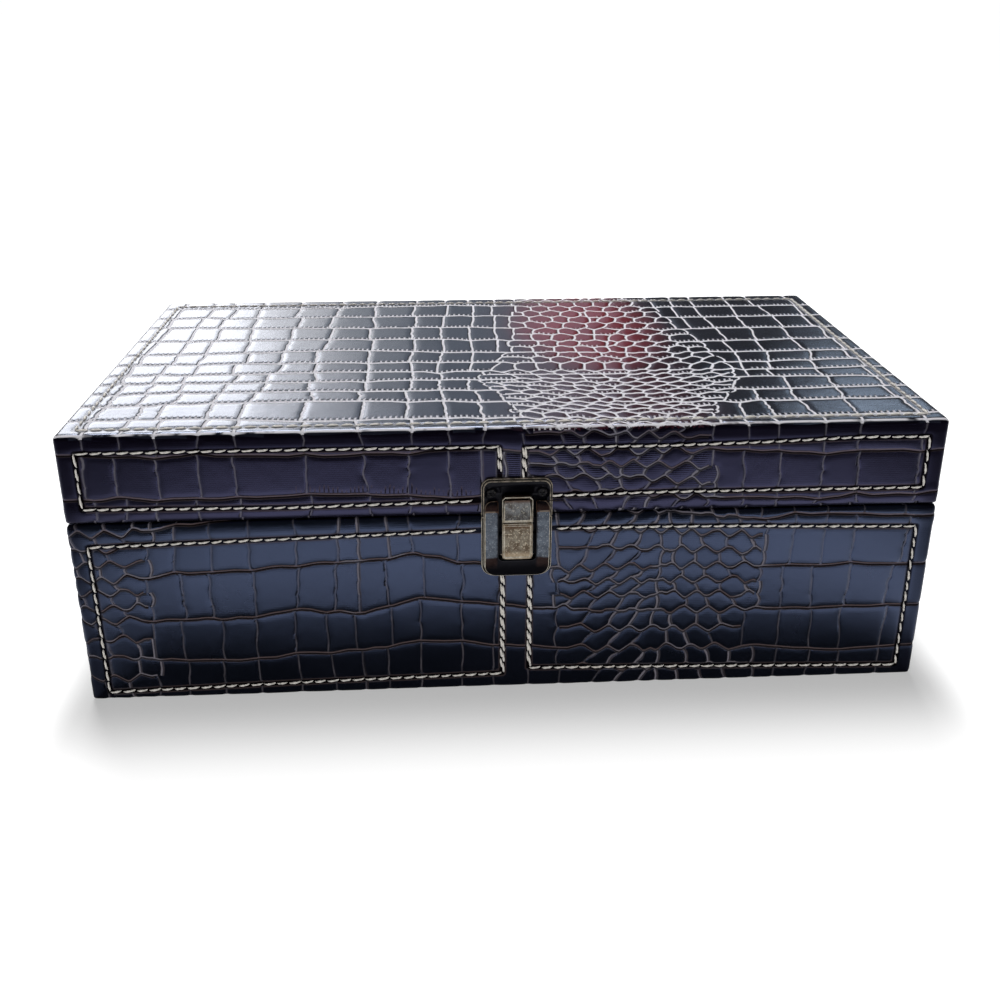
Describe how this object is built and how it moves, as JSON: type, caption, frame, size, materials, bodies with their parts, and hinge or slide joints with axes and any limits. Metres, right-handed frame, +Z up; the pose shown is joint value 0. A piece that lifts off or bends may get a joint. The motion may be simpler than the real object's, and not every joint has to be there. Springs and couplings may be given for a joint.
{
  "type": "stationery box",
  "caption": "Rectangular keepsake box wrapped in glossy crocodile-embossed leatherette with cream seams, a hinged lid and an antique push-down latch.",
  "frame": {"origin": "on the table under the middle of the box walls", "axes": "+X to the right of someone facing the latch, the latch on the -Y side, +Z up"},
  "size_m": [0.3512, 0.2003, 0.1201],
  "materials": {
    "leatherette": "glossy crocodile emboss",
    "thread": "matte",
    "board": "raw fibreboard",
    "lining": "short velvet pile",
    "underside_flock": "flocked card",
    "latch_metal": "antique bronze, worn on the edges",
    "hinge_metal": "antique bronze",
    "screw_metal": "blackened",
    "spring_steel": "drawn wire"
  },
  "bodies": {
    "base": {"base_cover": "leatherette", "base_stitching": "thread", "underside_sheet": "underside_flock", "latch_housing": "latch_metal", "housing_screws": "screw_metal", "base_hinge_screws": "screw_metal", "left_hinge_base_leaf": "hinge_metal", "left_hinge_pin": "hinge_metal", "right_hinge_base_leaf": "hinge_metal", "right_hinge_pin": "hinge_metal", "bottom_board": "board", "base_front_board": "board", "base_back_board": "board", "base_left_board": "board", "base_right_board": "board", "base_floor_lining": "lining", "base_front_lining": "lining", "base_back_lining": "lining", "base_left_lining": "lining", "base_right_lining": "lining"},
    "lid": {"lid_cover": "leatherette", "lid_stitching": "thread", "lid_hinge_screws": "screw_metal", "lid_top_board": "board", "lid_front_board": "board", "lid_back_board": "board", "lid_left_board": "board", "lid_right_board": "board", "lid_top_lining": "lining", "lid_front_lining": "lining", "lid_back_lining": "lining", "lid_left_lining": "lining", "lid_right_lining": "lining", "latch_hasp": "latch_metal", "hasp_screws": "screw_metal", "left_hinge_lid_leaf": "hinge_metal", "right_hinge_lid_leaf": "hinge_metal"},
    "button": {"latch_button": "latch_metal", "latch_spring": "spring_steel"}
  },
  "joints": [
    {"name": "lid_hinge", "type": "hinge", "parent": "base", "child": "lid", "pos_m": [0, 0.0973, 0.08175], "axis": [-1, 0, 0], "range_deg": [0, 100]},
    {"name": "latch_button_slide", "type": "slide", "parent": "base", "child": "button", "axis": [0, 0, -1], "range_m": [0, 0.0025], "stiffness_N_per_m": 300, "springref_m": -0.002, "deforming": ["latch_spring"]}
  ]
}
